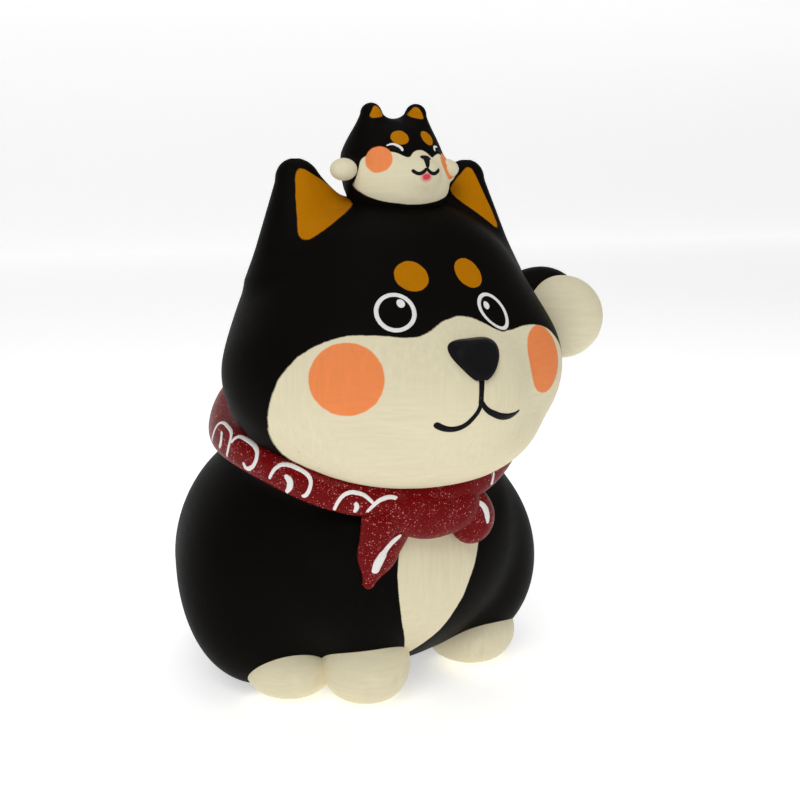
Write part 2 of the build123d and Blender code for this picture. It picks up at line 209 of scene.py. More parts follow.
def skin(name, field, low, high, step):
    """Closed quad mesh of a field's zero surface, one vertex to each crossed cell."""
    step = step * DRAFT
    low = np.asarray(low, float) - SKIN_MARGIN * step
    count = np.ceil((np.asarray(high, float) + SKIN_MARGIN * step - low) / step).astype(int) + 1
    axes = [low[i] + step * np.arange(count[i]) for i in range(3)]
    value = np.empty(count)
    for i, x in enumerate(axes[0]):
        y, z = np.meshgrid(axes[1], axes[2], indexing="ij")
        plane = np.stack([np.full(y.size, x), y.ravel(), z.ravel()], axis=1)
        value[i] = field(plane).reshape(y.shape)
    inside = value < 0
    cells = tuple(n - 1 for n in count)

    def corner(array, c):
        return array[c[0]:c[0] + cells[0], c[1]:c[1] + cells[1], c[2]:c[2] + cells[2]]

    filled = sum(corner(inside, c).astype(np.int8) for c in CORNERS)
    crossed = (filled > 0) & (filled < 8)
    at = np.argwhere(crossed)
    total = np.zeros((len(at), 3))
    hits = np.zeros(len(at))
    for a, b in CELL_EDGES:
        va = corner(value, a)[crossed]
        vb = corner(value, b)[crossed]
        hit = (va < 0) != (vb < 0)
        t = np.where(hit, va / np.where(hit, va - vb, 1), 0)
        point = np.array(a) + t[:, None] * (np.array(b) - np.array(a))
        total += np.where(hit[:, None], point, 0)
        hits += hit
    verts = low + step * (at + total / hits[:, None])
    for _ in range(SETTLE_ROUNDS):
        distance, slope = downhill(field, verts)
        size = np.maximum((slope**2).sum(axis=1), LEAST_SLOPE)
        move = -(distance / size)[:, None] * slope
        length = np.linalg.norm(move, axis=1, keepdims=True)
        verts += move * np.minimum(1, LONGEST_MOVE * step / np.maximum(length, TINY))

    index = -np.ones(cells, int)
    index[crossed] = np.arange(len(at))
    quads = []
    for axis in range(3):
        u, v = (axis + 1) % 3, (axis + 2) % 3
        first = np.take(inside, range(count[axis] - 1), axis)
        second = np.take(inside, range(1, count[axis]), axis)
        edge = np.argwhere(first != second)
        keep = (edge[:, u] > 0) & (edge[:, v] > 0) & (edge[:, u] < cells[u]) & (edge[:, v] < cells[v])
        edge = edge[keep]
        ring = []
        for du, dv in ((1, 1), (0, 1), (0, 0), (1, 0)):
            cell = edge.copy()
            cell[:, u] -= du
            cell[:, v] -= dv
            ring.append(index[tuple(cell.T)])
        quad = np.stack(ring, axis=1)
        starts_inside = inside[tuple(edge.T)]
        quad[~starts_inside] = quad[~starts_inside][:, ::-1]
        quads.append(quad)
    mesh = bpy.data.meshes.new(name)
    mesh.from_pydata((verts * MM).tolist(), [], np.concatenate(quads).tolist())
    mesh.shade_smooth()
    piece = bpy.data.objects.new(name, mesh)
    bpy.context.scene.collection.objects.link(piece)
    return piece


def points_of(piece):
    flat = np.empty(len(piece.data.vertices) * 3)
    piece.data.vertices.foreach_get("co", flat)
    return flat.reshape(-1, 3) / MM


def store(piece, name, values):
    """Keep one number to each vertex for a material to read."""
    attribute = piece.data.attributes.new(name, "FLOAT", "POINT")
    attribute.data.foreach_set("value", values.astype(np.float32))


def finish_piece(piece, material, nodes, body="figure"):
    piece.data.materials.clear()
    piece.data.materials.append(material)
    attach(piece, body)
    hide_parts(*nodes)
    return piece


# ---------------------------------------------------------------- where the pieces are
def box_mm(node):
    low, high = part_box(node)
    return np.array(low) / MM, np.array(high) / MM


body_low, body_high = box_mm("body_shell")
head_low, head_high = box_mm("head_shell")
puppy_low, puppy_high = box_mm("puppy")
paw_low, paw_high = box_mm("raised_paw")
arm_low, arm_high = box_mm("raised_arm")
band_low, band_high = box_mm("scarf_band")
knot_low, knot_high = box_mm("scarf_knot")
stopper_low, stopper_high = box_mm("stopper")

BELLY_IN = 62  # behind the front of the body's box
BELLY_UP = 54
HEAD_IN = 53
HEAD_DOWN = 68.5  # under the top of the head's box
PUPPY_ASIDE = 0.3
PUPPY_IN = 16
PUPPY_DOWN = 26
BELLY = np.array([0, body_low[1] + BELLY_IN, body_low[2] + BELLY_UP])
HEAD = np.array([0, head_low[1] + HEAD_IN, head_high[2] - HEAD_DOWN])
PUPPY = np.array([PUPPY_ASIDE, puppy_low[1] + PUPPY_IN, puppy_high[2] - PUPPY_DOWN])
WALL = 3.0
UNPAINTED = 8.0  # edge distance stored where a painted area can't reach


# ---------------------------------------------------------------- body
STOPPER_AXIS = (stopper_low + stopper_high) / 2
NECK_FORWARD = 20
NECK_UP = 40.5
NECK_LEAN = 20.7  # degrees
NECK_TIP = -9.5
NECK = np.array([(band_low[0] + band_high[0]) / 2, BELLY[1] - NECK_FORWARD, BELLY[2] + NECK_UP])
neck_lean = Matrix.Rotation(math.radians(NECK_LEAN), 3, "X")
neck_tip = Matrix.Rotation(math.radians(NECK_TIP), 3, "Y")
NECK_TURN = np.array(neck_lean @ neck_tip)

# Lumps are (offset from the middle, half sizes, softness of the crease).
BELLY_SAG = (0, 0, -4)
BELLY_HALF = (62, 61.5, 45.5)
RUMP = ((0, 12, -17), (60, 54, 38.5), 10)
CHEST = ((-4, -20, 17), (37, 39, 30), 10)
HAUNCHES = ((39, -8, -19), (26, 29, 33.5), 9)
LEFT_HAUNCH = ((39, -17, -15.5), (24, 26, 30.5), 6)
NECK_HALF = (44.5, 44.5, 16)
NECK_CREASE = 6
FORELEG = ((-19, -46.5, 6), 15.5, (-13.5, -38.0, -28), 12.0)
LEG_CREASE = 7
BASE_EDGE = 2.5
HOLLOW_EDGE = 2
BOSS_RADIUS = 24
BOSS_TOP = 11
BORE_RADIUS = 17
BORE_EDGE = 0.8
RECESS_RADIUS = 20.5
RECESS_DEPTH = 3
HEAD_GAP = 0.3


def neck_frame(p):
    """Points in the scarf ring's own frame, its axis upwards."""
    return (p - NECK) @ NECK_TURN


def body_form(p, inset=0.0):
    form = ball(p, BELLY + BELLY_SAG, np.array(BELLY_HALF) - inset)
    form = lump(form, p, BELLY, RUMP, inset)
    form = lump(form, p, BELLY, CHEST, inset)
    form = lump(form, mirrored(p), BELLY, HAUNCHES, inset)
    form = lump(form, p, BELLY, LEFT_HAUNCH, inset)
    return merge(form, ball(neck_frame(p), 0, np.array(NECK_HALF) - inset), NECK_CREASE)


def body_field(p):
    form = merge(body_form(p), limb(p, BELLY, FORELEG), LEG_CREASE)
    form = common(form, -p[:, 2], BASE_EDGE)
    hollow = common(body_form(p, WALL), WALL - p[:, 2], HOLLOW_EDGE)
    from_axis = np.hypot(p[:, 0] - STOPPER_AXIS[0], p[:, 1] - STOPPER_AXIS[1])
    boss = np.maximum(from_axis - BOSS_RADIUS, p[:, 2] - BOSS_TOP)
    hollow = cut(hollow, boss, 1)
    form = cut(form, hollow, 1)
    bore = from_axis - BORE_RADIUS
    recess = np.maximum(from_axis - RECESS_RADIUS, p[:, 2] - RECESS_DEPTH)
    form = cut(form, np.minimum(bore, recess), BORE_EDGE)
    return cut(form, head_form(p) - HEAD_GAP, 1)


BIB_HALF = 16.4
BIB_LOW = 13
BIB_TOP = 64
BIB_TAPER = 1.75
BIB_WAIST = 30  # height at which the bib's middle line bends
BIB_MIDDLE = 2.2
BIB_SWAY = 3.0
BIB_FOOT = 3.0
BIB_FORWARD = 15


def bib_distance(p):
    """Distance to the edge of the white bib, negative on it, seen from the front."""
    height = p[:, 2] - body_low[2]
    bend = (height - BIB_WAIST) / BIB_WAIST
    middle = BIB_MIDDLE + BIB_SWAY * bend * np.abs(bend)
    rise = np.clip((BIB_TOP - height) / (BIB_TOP - BIB_LOW), 0, 1)
    width = BIB_HALF * (1 - rise**BIB_TAPER)
    edge = np.abs(p[:, 0] - middle) - width
    edge = np.where(height < BIB_LOW, BIB_FOOT, edge)
    return np.where(p[:, 1] < BELLY[1] - BIB_FORWARD, edge, UNPAINTED)


# ---------------------------------------------------------------- head
CHEEKS_OFFSET = (-0.8, 0, 4)
CHEEKS_HALF = (58.2, 44.5, 39)
CROWN = ((0.4, 9, 17), (50.6, 40.5, 43.5), 7)
CHIN = ((0, -16, -14), (38, 27, 18), 8)
MUZZLE = ((0, -39, 3), (20, 14, 15), 12)
EAR = ((29.5, 8, 35), 18.8, (31.3, 11, 65.2), 6.2)
EAR_FOLD = ((11, 8, 42), 9, (28.5, 11, 63), 6)
EAR_PLANE = 11
EAR_FLATNESS = 1.15
EAR_CREASE = 4
NECK_HOLE_BACK = 10
NECK_HOLE_RADIUS = 22
SLOT_OFFSET = (0, 50, 27)
SLOT_HALF = (20, 20, 2.5)
SLOT_ROUNDING = 1.2
SLOT_EDGE = 0.9


def head_form(p, inset=0.0):
    form = ball(p, HEAD + CHEEKS_OFFSET, np.array(CHEEKS_HALF) - inset)
    form = lump(form, p, HEAD, CROWN, inset)
    return lump(form, p, HEAD, CHIN, inset)


def head_outside(p):
    form = lump(head_form(p), p, HEAD, MUZZLE)
    q = mirrored(p)
    q[:, 1] = HEAD[1] + EAR_PLANE + (q[:, 1] - HEAD[1] - EAR_PLANE) * EAR_FLATNESS
    ear = merge(limb(q, HEAD, EAR), limb(q, HEAD, EAR_FOLD), EAR_CREASE)
    return merge(form, ear, EAR_CREASE)


def head_field(p):
    form = head_outside(p)
    form = cut(form, head_form(p, WALL), 1)
    from_axis = np.hypot(p[:, 0], p[:, 1] - HEAD[1] - NECK_HOLE_BACK)
    neck_hole = np.maximum(from_axis - NECK_HOLE_RADIUS, p[:, 2] - HEAD[2])
    form = cut(form, neck_hole, 1)
    slot = block(p, HEAD + SLOT_OFFSET, SLOT_HALF, SLOT_ROUNDING)
    return cut(form, slot, SLOT_EDGE)


FRONT_START = -140.0
FRONT_ROUNDS = 90
FRONT_STRIDE = 0.6


def front_of(field, x, z):
    """Point where a line from the front meets a field."""
    y = FRONT_START
    for _ in range(FRONT_ROUNDS):
        y += FRONT_STRIDE * float(field(np.array([[x, y, z]]))[0])
    return np.array([x, y, z])


def oval(x, z, cx, cz, rx, rz, power):
    k = (np.abs((x - cx) / rx)**power + np.abs((z - cz) / rz)**power)**(1 / power)
    return (k - 1) * min(rx, rz)


# Ovals are (middle across, middle up, half width, half height, squareness).
FACE_CHEEKS = (27.5, -2.5, 25.0, 22.5, 2.1)
FACE_MIDDLE = (1.2, 8.5, 13.3, 15.7, 2.0)
FACE_CHIN = (0, -12, 36, 34, 2.0)
FACE_BACK = 6


def face_distance(p):
    """Distance to the edge of the white face, negative on it, seen from the front."""
    x, z = p[:, 0], p[:, 2] - HEAD[2]
    white = merge(oval(np.abs(x), z, *FACE_CHEEKS), oval(x, z, *FACE_MIDDLE), 3.0)
    white = merge(white, oval(x, z, *FACE_CHIN), 4.0)
    return np.where(p[:, 1] < HEAD[1] + FACE_BACK, white, UNPAINTED)


FAR_INSIDE = -1e3


def raised(corners, up):
    return [(x, up + z) for x, z in corners]


def corner_patch(p, corners, rounding):
    """Distance to a triangle with round corners, seen from the front."""
    x, z = p[:, 0], p[:, 2]
    distance = np.full(len(p), FAR_INSIDE)
    (ax, az), (bx, bz), (cx, cz) = corners
    if (bx - ax) * (cz - az) < (bz - az) * (cx - ax):
        corners = corners[::-1]
    for i in range(3):
        ax, az = corners[i]
        bx, bz = corners[(i + 1) % 3]
        length = math.hypot(bx - ax, bz - az)
        side = ((x - ax) * (bz - az) - (z - az) * (bx - ax)) / length
        distance = -merge(-distance, -(side + rounding), 2 * rounding)
    return distance - rounding


RIGHT_EAR_PATCH = ((-32.8, 69.6), (-13.4, 58.7), (-35.8, 44.8))
LEFT_EAR_PATCH = ((30.0, 70.5), (20.8, 60.6), (39.2, 45.8))
EAR_PATCH_BACK = 10


def ear_patch_distance(p):
    right = corner_patch(p, raised(RIGHT_EAR_PATCH, HEAD[2]), 2.0)
    left = corner_patch(p, raised(LEFT_EAR_PATCH, HEAD[2]), 2.0)
    return np.where(p[:, 1] < HEAD[1] + EAR_PATCH_BACK, np.minimum(right, left), UNPAINTED)


# ---------------------------------------------------------------- puppy
PUPPY_CHEEKS_OFFSET = (0.9, 0.5, 0)
PUPPY_CHEEKS_HALF = (17, 14.5, 11.5)
PUPPY_CROWN = ((0.6, 4.5, 6), (16.6, 15, 15), 5)
PUPPY_MUZZLE = ((2.6, -11.5, 3.5), (6.5, 4.5, 4.5), 3)
# The black lump under the puppy's white face is partly its real black chest and partly painted shadow of the
# gap where it lies on the big head.
PUPPY_CHEST_AND_GAP_SHADOW = ((0.5, 3, -8), (16, 13, 7), 3)
PUPPY_EAR = ((7.6, 4, 10), 8.6, (8.0, 3, 22.3), 3.5)
PUPPY_EAR_CREASE = 4
PUPPY_ARM = ((12.0, 2, 4.5), 4.5, (17.5, -3, 4.5), 3.0)
PUPPY_ARM_CREASE = 2.5
PUPPY_MIDDLE = 0.5
PUPPY_UNPAINTED = 5.0


def puppy_outside(p):
    form = ball(p, PUPPY + PUPPY_CHEEKS_OFFSET, np.array(PUPPY_CHEEKS_HALF))
    form = lump(form, p, PUPPY, PUPPY_CROWN)
    q = p.copy()
    q[:, 0] = np.abs(p[:, 0] - PUPPY[0] - PUPPY_MIDDLE) + PUPPY[0]
    form = merge(form, limb(q, PUPPY, PUPPY_EAR), PUPPY_EAR_CREASE)
    form = lump(form, p, PUPPY, PUPPY_MUZZLE)
    form = merge(form, limb(q, PUPPY, PUPPY_ARM), PUPPY_ARM_CREASE)
    return lump(form, p, PUPPY, PUPPY_CHEST_AND_GAP_SHADOW)


# Ovals of the puppy's white face, each with the softness of its crease.
# The white face stops 6 mm under the puppy's middle. The black band left under it is partly the black chest
# and partly painted shadow of the gap above the big head.
PUPPY_FACE = (0.4, 1.0, 16.4, 7.0, 2.2)
PUPPY_FACE_OVALS = (
    ((-8.0, 3.2, 8.2, 7.2, 2.0), 1.5),
    ((12.0, 3.2, 6.5, 6.6, 2.0), 1.5),
    ((3.2, 4.5, 5.2, 6.2, 2.0), 1.2),
)
PUPPY_FACE_BACK = 1.0


def puppy_face_distance(p):
    x, z = p[:, 0] - PUPPY[0], p[:, 2] - PUPPY[2]
    white = oval(x, z, *PUPPY_FACE)
    for shape, soft in PUPPY_FACE_OVALS:
        white = merge(white, oval(x, z, *shape), soft)
    return np.where(p[:, 1] < PUPPY[1] + PUPPY_FACE_BACK, white, PUPPY_UNPAINTED)


PUPPY_EAR_PATCH = ((7.4, 25.5), (10.2, 20.5), (3.9, 21.5))
PUPPY_PATCH_BACK = 3.5


def puppy_ear_distance(p):
    q = p.copy()
    q[:, 0] = np.abs(p[:, 0] - PUPPY[0])
    patch = corner_patch(q, raised(PUPPY_EAR_PATCH, PUPPY[2]), 1.0)
    return np.where(p[:, 1] < PUPPY[1] + PUPPY_PATCH_BACK, patch, PUPPY_UNPAINTED)


# ---------------------------------------------------------------- node groups
def new_group(name, inputs, outputs):
    group = bpy.data.node_groups.new(name, "ShaderNodeTree")
    for label, kind, default in inputs:
        socket = group.interface.new_socket(label, in_out="INPUT", socket_type=kind)
        socket.default_value = default
    for label, kind in outputs:
        group.interface.new_socket(label, in_out="OUTPUT", socket_type=kind)
    entry = group.nodes.new("NodeGroupInput")
    leave = group.nodes.new("NodeGroupOutput")
    return group, entry, leave


def add_node(tree, kind, **settings):
    node = tree.nodes.new(kind)
    for key, value in settings.items():
        setattr(node, key, value)
    return node


def maths(tree, operation, a, b=None, clamp=False):
    node = add_node(tree, "ShaderNodeMath", operation=operation, use_clamp=clamp)
    for socket, value in zip(node.inputs, (a, b)):
        if value is None:
            continue
        if isinstance(value, (int, float)):
            socket.default_value = value
        else:
            tree.links.new(value, socket)
    return node.outputs[0]


def noise(tree, vector, scale, detail=3.0, roughness=0.5):
    node = add_node(tree, "ShaderNodeTexNoise")
    tree.links.new(vector, node.inputs["Vector"])
    node.inputs["Scale"].default_value = scale
    node.inputs["Detail"].default_value = detail
    node.inputs["Roughness"].default_value = roughness
    return node.outputs["Fac"]


def scaled_place(tree, size, turn=(0, 0, 0)):
    """Object coordinates in millimetres, stretched and turned."""
    place = add_node(tree, "ShaderNodeTexCoord")
    mapping = add_node(tree, "ShaderNodeMapping")
    tree.links.new(place.outputs["Object"], mapping.inputs["Vector"])
    mapping.inputs["Scale"].default_value = [s / MM for s in size]
    mapping.inputs["Rotation"].default_value = turn
    return mapping.outputs["Vector"]


ACROSS_STRETCH = (0.10, 0.10, 0.9)
ACROSS_TURN = (0.5, 0.2, 0.3)
DOWN_STRETCH = (0.7, 0.7, 0.07)
DOWN_TURN = (0.15, -0.3, 0.0)
PATCH_STRETCH = (0.03, 0.03, 0.03)
PATCH_LEVEL = 0.4
PATCH_CONTRAST = 5.0
GRAIN_SCALE = 2.2
GRAIN_SHARE = 0.25
BRISTLE_DETAIL = 4.0
BRISTLE_ROUGHNESS = 0.6


def brush_group():
    """Overlapping brush marks: a height for bump and a tone that lightens and darkens the paint."""
    group, entry, leave = new_group(
        "brush_marks",
        [("Coarse", "NodeSocketFloat", 1.0), ("Fine", "NodeSocketFloat", 1.0)],
        [("Height", "NodeSocketFloat"), ("Tone", "NodeSocketFloat")],
    )
    across_place = scaled_place(group, ACROSS_STRETCH, ACROSS_TURN)
    across = noise(group, across_place, 1.0, BRISTLE_DETAIL, BRISTLE_ROUGHNESS)
    down_place = scaled_place(group, DOWN_STRETCH, DOWN_TURN)
    down = noise(group, down_place, 1.0, BRISTLE_DETAIL, BRISTLE_ROUGHNESS)
    choose = noise(group, scaled_place(group, PATCH_STRETCH), 1.0, 2.0)
    mix = add_node(group, "ShaderNodeMix", data_type="FLOAT")
    pick = maths(group, "MULTIPLY", maths(group, "SUBTRACT", choose, PATCH_LEVEL), PATCH_CONTRAST, clamp=True)
    group.links.new(pick, mix.inputs[0])
    group.links.new(across, mix.inputs[2])
    group.links.new(down, mix.inputs[3])
    grain = noise(group, scaled_place(group, (1, 1, 1)), GRAIN_SCALE, 3.0, BRISTLE_ROUGHNESS)
    coarse = maths(group, "MULTIPLY", mix.outputs[0], entry.outputs["Coarse"])
    fine = maths(group, "MULTIPLY", grain, entry.outputs["Fine"])
    height = maths(group, "ADD", coarse, maths(group, "MULTIPLY", fine, GRAIN_SHARE))
    group.links.new(height, leave.inputs["Height"])
    group.links.new(mix.outputs[0], leave.inputs["Tone"])
    return group


PIT_SPACING = (0.16, 0.16, 0.16)
PIT_RADIUS = 0.035


def pit_group():
    """Sparse pin holes and specks of dust left in the paint."""
    group, entry, leave = new_group(
        "paint_pits", [("Amount", "NodeSocketFloat", 0.5)], [("Pit", "NodeSocketFloat")]
    )
    cells = add_node(group, "ShaderNodeTexVoronoi", feature="F1")
    group.links.new(scaled_place(group, PIT_SPACING), cells.inputs["Vector"])
    cells.inputs["Scale"].default_value = 1.0
    dot = maths(group, "LESS_THAN", cells.outputs["Distance"], PIT_RADIUS)
    split = add_node(group, "ShaderNodeSeparateColor")
    group.links.new(cells.outputs["Color"], split.inputs[0])
    chosen = maths(group, "LESS_THAN", split.outputs[0], entry.outputs["Amount"])
    group.links.new(maths(group, "MULTIPLY", dot, chosen), leave.inputs["Pit"])
    return group


SLOW_WANDER = (0.16, 0.16, 0.16)
QUICK_WANDER = (1.1, 1.1, 1.1)
QUICK_SHARE = 0.35


def edge_group():
    """A hand-painted edge: a stored distance turned into a mask with a slightly unsteady line."""
    group, entry, leave = new_group(
        "painted_edge",
        [
            ("Distance", "NodeSocketFloat", 0.0),
            ("Unsteadiness", "NodeSocketFloat", 0.5),
            ("Softness", "NodeSocketFloat", 0.25),
        ],
        [("Mask", "NodeSocketFloat")],
    )
    slow = noise(group, scaled_place(group, SLOW_WANDER), 1.0, 1.0)
    quick = noise(group, scaled_place(group, QUICK_WANDER), 1.0, 1.0)
    small = maths(group, "MULTIPLY", maths(group, "SUBTRACT", quick, 0.5), QUICK_SHARE)
    wander = maths(group, "ADD", maths(group, "SUBTRACT", slow, 0.5), small)
    shift = maths(group, "MULTIPLY", wander, entry.outputs["Unsteadiness"])
    moved = maths(group, "ADD", entry.outputs["Distance"], shift)
    soft = maths(group, "DIVIDE", moved, entry.outputs["Softness"])
    group.links.new(maths(group, "SUBTRACT", 0.5, soft, clamp=True), leave.inputs["Mask"])
    return group


DAB_WANDER_SCALE = 0.45
DAB_WANDER = 0.5  # millimetres


def spot_group():
    """A round dab of paint: mask of a ball of given radii about a centre, in millimetres."""
    group, entry, leave = new_group(
        "painted_dab",
        [
            ("Centre", "NodeSocketVector", (0, 0, 0)),
            ("Radii", "NodeSocketVector", (1, 1, 1)),
            ("Turn", "NodeSocketVector", (0, 0, 0)),
            ("Softness", "NodeSocketFloat", 0.04),
        ],
        [("Mask", "NodeSocketFloat")],
    )
    place = scaled_place(group, (1, 1, 1))
    wander = add_node(group, "ShaderNodeTexNoise")
    group.links.new(place, wander.inputs["Vector"])
    wander.inputs["Scale"].default_value = DAB_WANDER_SCALE
    shift = add_node(group, "ShaderNodeVectorMath", operation="SUBTRACT")
    group.links.new(wander.outputs["Color"], shift.inputs[0])
    shift.inputs[1].default_value = (0.5, 0.5, 0.5)
    scale = add_node(group, "ShaderNodeVectorMath", operation="SCALE")
    group.links.new(shift.outputs[0], scale.inputs[0])
    scale.inputs["Scale"].default_value = DAB_WANDER
    total = add_node(group, "ShaderNodeVectorMath", operation="ADD")
    group.links.new(place, total.inputs[0])
    group.links.new(scale.outputs[0], total.inputs[1])
    away = add_node(group, "ShaderNodeVectorMath", operation="SUBTRACT")
    group.links.new(total.outputs[0], away.inputs[0])
    group.links.new(entry.outputs["Centre"], away.inputs[1])
    turned = add_node(group, "ShaderNodeVectorRotate", rotation_type="EULER_XYZ")
    group.links.new(away.outputs[0], turned.inputs["Vector"])
    group.links.new(entry.outputs["Turn"], turned.inputs["Rotation"])
    share = add_node(group, "ShaderNodeVectorMath", operation="DIVIDE")
    group.links.new(turned.outputs[0], share.inputs[0])
    group.links.new(entry.outputs["Radii"], share.inputs[1])
    length = add_node(group, "ShaderNodeVectorMath", operation="LENGTH")
    group.links.new(share.outputs[0], length.inputs[0])
    outside = maths(group, "SUBTRACT", length.outputs["Value"], 1.0)
    past = maths(group, "DIVIDE", outside, entry.outputs["Softness"])
    group.links.new(maths(group, "SUBTRACT", 0.5, past, clamp=True), leave.inputs["Mask"])
    return group


FLECK_SCALE = 1.35
CLOUD_STRETCH = (0.17, 0.17, 0.17)
CLOUD_LEVEL = 0.33
CLOUD_CONTRAST = 2.6
FLECK_RADIUS = 0.26
FLECK_LEAST = 0.35


def fleck_group():
    """Glitter: small pale flecks in loose clouds."""
    group, entry, leave = new_group(
        "glitter_flecks",
        [("Size", "NodeSocketFloat", 1.0), ("Amount", "NodeSocketFloat", 0.5)],
        [("Mask", "NodeSocketFloat")],
    )
    cells = add_node(group, "ShaderNodeTexVoronoi", feature="F1")
    size = add_node(group, "ShaderNodeVectorMath", operation="SCALE")
    group.links.new(scaled_place(group, (1, 1, 1)), size.inputs[0])
    group.links.new(entry.outputs["Size"], size.inputs["Scale"])
    group.links.new(size.outputs[0], cells.inputs["Vector"])
    cells.inputs["Scale"].default_value = FLECK_SCALE
    split = add_node(group, "ShaderNodeSeparateColor")
    group.links.new(cells.outputs["Color"], split.inputs[0])
    cloud = noise(group, scaled_place(group, CLOUD_STRETCH), 1.0, 3.0, BRISTLE_ROUGHNESS)
    cloud = maths(group, "MULTIPLY", maths(group, "SUBTRACT", cloud, CLOUD_LEVEL), CLOUD_CONTRAST, clamp=True)
    limit = maths(group, "MULTIPLY", cloud, entry.outputs["Amount"])
    chosen = maths(group, "LESS_THAN", split.outputs[0], limit)
    radius = maths(group, "MULTIPLY", maths(group, "ADD", split.outputs[1], FLECK_LEAST), FLECK_RADIUS)
    dot = maths(group, "LESS_THAN", cells.outputs["Distance"], radius)
    group.links.new(maths(group, "MULTIPLY", dot, chosen), leave.inputs["Mask"])
    return group


BRUSH = brush_group()
PITS = pit_group()
EDGE = edge_group()
DAB = spot_group()
FLECKS = fleck_group()


# ---------------------------------------------------------------- paints
BLACK = (0.0040, 0.0034, 0.0028)
CREAM = (0.78, 0.71, 0.50)
SALMON = (0.88, 0.27, 0.09)
OCHRE = (0.48, 0.175, 0.0015)
RED = (0.155, 0.0006, 0.001)
PALE_PINK = (0.70, 0.26, 0.26)
CHALK = (0.84, 0.82, 0.80)
ROSE = (0.75, 0.06, 0.09)
FINE_FLECK = (0.46, 0.11, 0.12)
RUBBER = (0.62, 0.60, 0.54)
LINE_BLACK = (0.010, 0.010, 0.011)
DUST = (0.30, 0.26, 0.20)
DARK_DUST = (0.10, 0.09, 0.08)
BIB_DUST = (0.12, 0.11, 0.09)
CREAM_DUST = (0.45, 0.40, 0.28)
RED_DUST = (0.05, 0.002, 0.003)
RUBBER_DUST = (0.36, 0.34, 0.30)
TONE_SPREAD = 0.22
TONE_LEAST = 0.89
SHINE_SPREAD = 0.18
SHINE_MIDDLE = 0.09
BUMP_STRENGTH = 0.6

# Dabs on the big head, from its middle: (across, up), then half width and half height.
CHEEK_DABS = ((-34.7, 7.5), (35.0, 9.0))
CHEEK_RADII = (11.2, 11.2, 10.9)
BROW_DABS = ((-9.5, 36.1, 5.3), (10.4, 36.4, 4.9))
BROW_HEIGHT = 5.2
GLINT_DABS = ((-15.5, 28.6, 1.2), (12.9, 26.9, 1.1))
GLINT_HEIGHT = 1.35

# The same for the puppy.
SMALL_CHEEK_DABS = ((-10.1, 7.9), (15.6, 6.0))
SMALL_CHEEK_RADII = (4.4, 4.4, 4.4)
SMALL_BROW_DABS = ((-2.4, 14.7, 2.9), (8.1, 14.7, 2.6))
SMALL_BROW_HEIGHT = 2.6
TONGUE = (2.7, 2.5)
TONGUE_BLUSH = (1.9, 2.5, 1.5)
TONGUE_RADII = (1.3, 2.5, 0.9)


class Paint:
    """A painted surface: a base coat, then dabs and painted areas over it."""

    def __init__(self, name, colour, roughness, gloss=0.015):
        self.material = bpy.data.materials.new(name)
        self.material.use_nodes = True
        self.tree = self.material.node_tree
        self.shader = self.tree.nodes["Principled BSDF"]
        self.shader.inputs["Specular IOR Level"].default_value = gloss
        self.brush = self.group(BRUSH)
        brush_tone = self.brush.outputs["Tone"]
        self.tone = maths(self.tree, "ADD", maths(self.tree, "MULTIPLY", brush_tone, TONE_SPREAD), TONE_LEAST)
        self.colour = self.shade(colour)
        shine = maths(self.tree, "MULTIPLY", brush_tone, SHINE_SPREAD)
        self.roughness = maths(self.tree, "ADD", shine, roughness - SHINE_MIDDLE)
        self.height = self.brush.outputs["Height"]

    def group(self, group, **values):
        node = add_node(self.tree, "ShaderNodeGroup")
        node.node_tree = group
        for key, value in values.items():
            node.inputs[key].default_value = value
        return node

    def shade(self, colour):
        """A colour lightened and darkened by the brush marks."""
        node = add_node(self.tree, "ShaderNodeVectorMath", operation="SCALE")
        node.inputs[0].default_value = colour
        self.tree.links.new(self.tone, node.inputs["Scale"])
        return node.outputs[0]

    def over(self, mask, colour, thickness=0.6):
        """Lay a colour over the paint so far, standing up by its own thickness."""
        mix = add_node(self.tree, "ShaderNodeMix", data_type="RGBA")
        self.tree.links.new(mask, mix.inputs[0])
        self.tree.links.new(self.colour, mix.inputs[6])
        self.tree.links.new(self.shade(colour), mix.inputs[7])
        self.colour = mix.outputs[2]
        self.height = maths(self.tree, "ADD", self.height, maths(self.tree, "MULTIPLY", mask, thickness))
        return mask

    def area(self, attribute, unsteadiness=0.6, softness=0.3):
        """Mask of a painted area whose edge distance is stored on the vertices."""
        stored = add_node(self.tree, "ShaderNodeAttribute", attribute_name=attribute)
        edge = self.group(EDGE, Unsteadiness=unsteadiness, Softness=softness)
        self.tree.links.new(stored.outputs["Fac"], edge.inputs["Distance"])
        return edge.outputs["Mask"]

    def dab(self, centre, radii, softness=0.04):
        node = self.group(DAB, Centre=centre, Radii=radii, Softness=softness)
        return node.outputs["Mask"]

    def pits(self, amount, colour, depth=-1.0):
        node = self.group(PITS, Amount=amount)
        self.over(node.outputs["Pit"], colour, depth)

    def done(self, bump=0.1):
        links = self.tree.links
        links.new(self.colour, self.shader.inputs["Base Color"])
        links.new(self.roughness, self.shader.inputs["Roughness"])
        node = add_node(self.tree, "ShaderNodeBump")
        node.inputs["Strength"].default_value = BUMP_STRENGTH
        node.inputs["Distance"].default_value = bump * MM
        links.new(self.height, node.inputs["Height"])
        links.new(node.outputs["Normal"], self.shader.inputs["Normal"])
        return self.material


def black_paint():
    paint = Paint("black_paint", BLACK, 0.48)
    paint.pits(0.10, DARK_DUST)
    return paint.done()


def cream_paint():
    paint = Paint("cream_paint", CREAM, 0.50, gloss=0.15)
    paint.pits(0.10, CREAM_DUST)
    return paint.done(bump=0.14)


def body_paint():
    paint = Paint("body_paint", BLACK, 0.48)
    paint.over(paint.area("bib", unsteadiness=0.8, softness=0.3), CREAM)
    paint.pits(0.08, BIB_DUST)
    return paint.done()


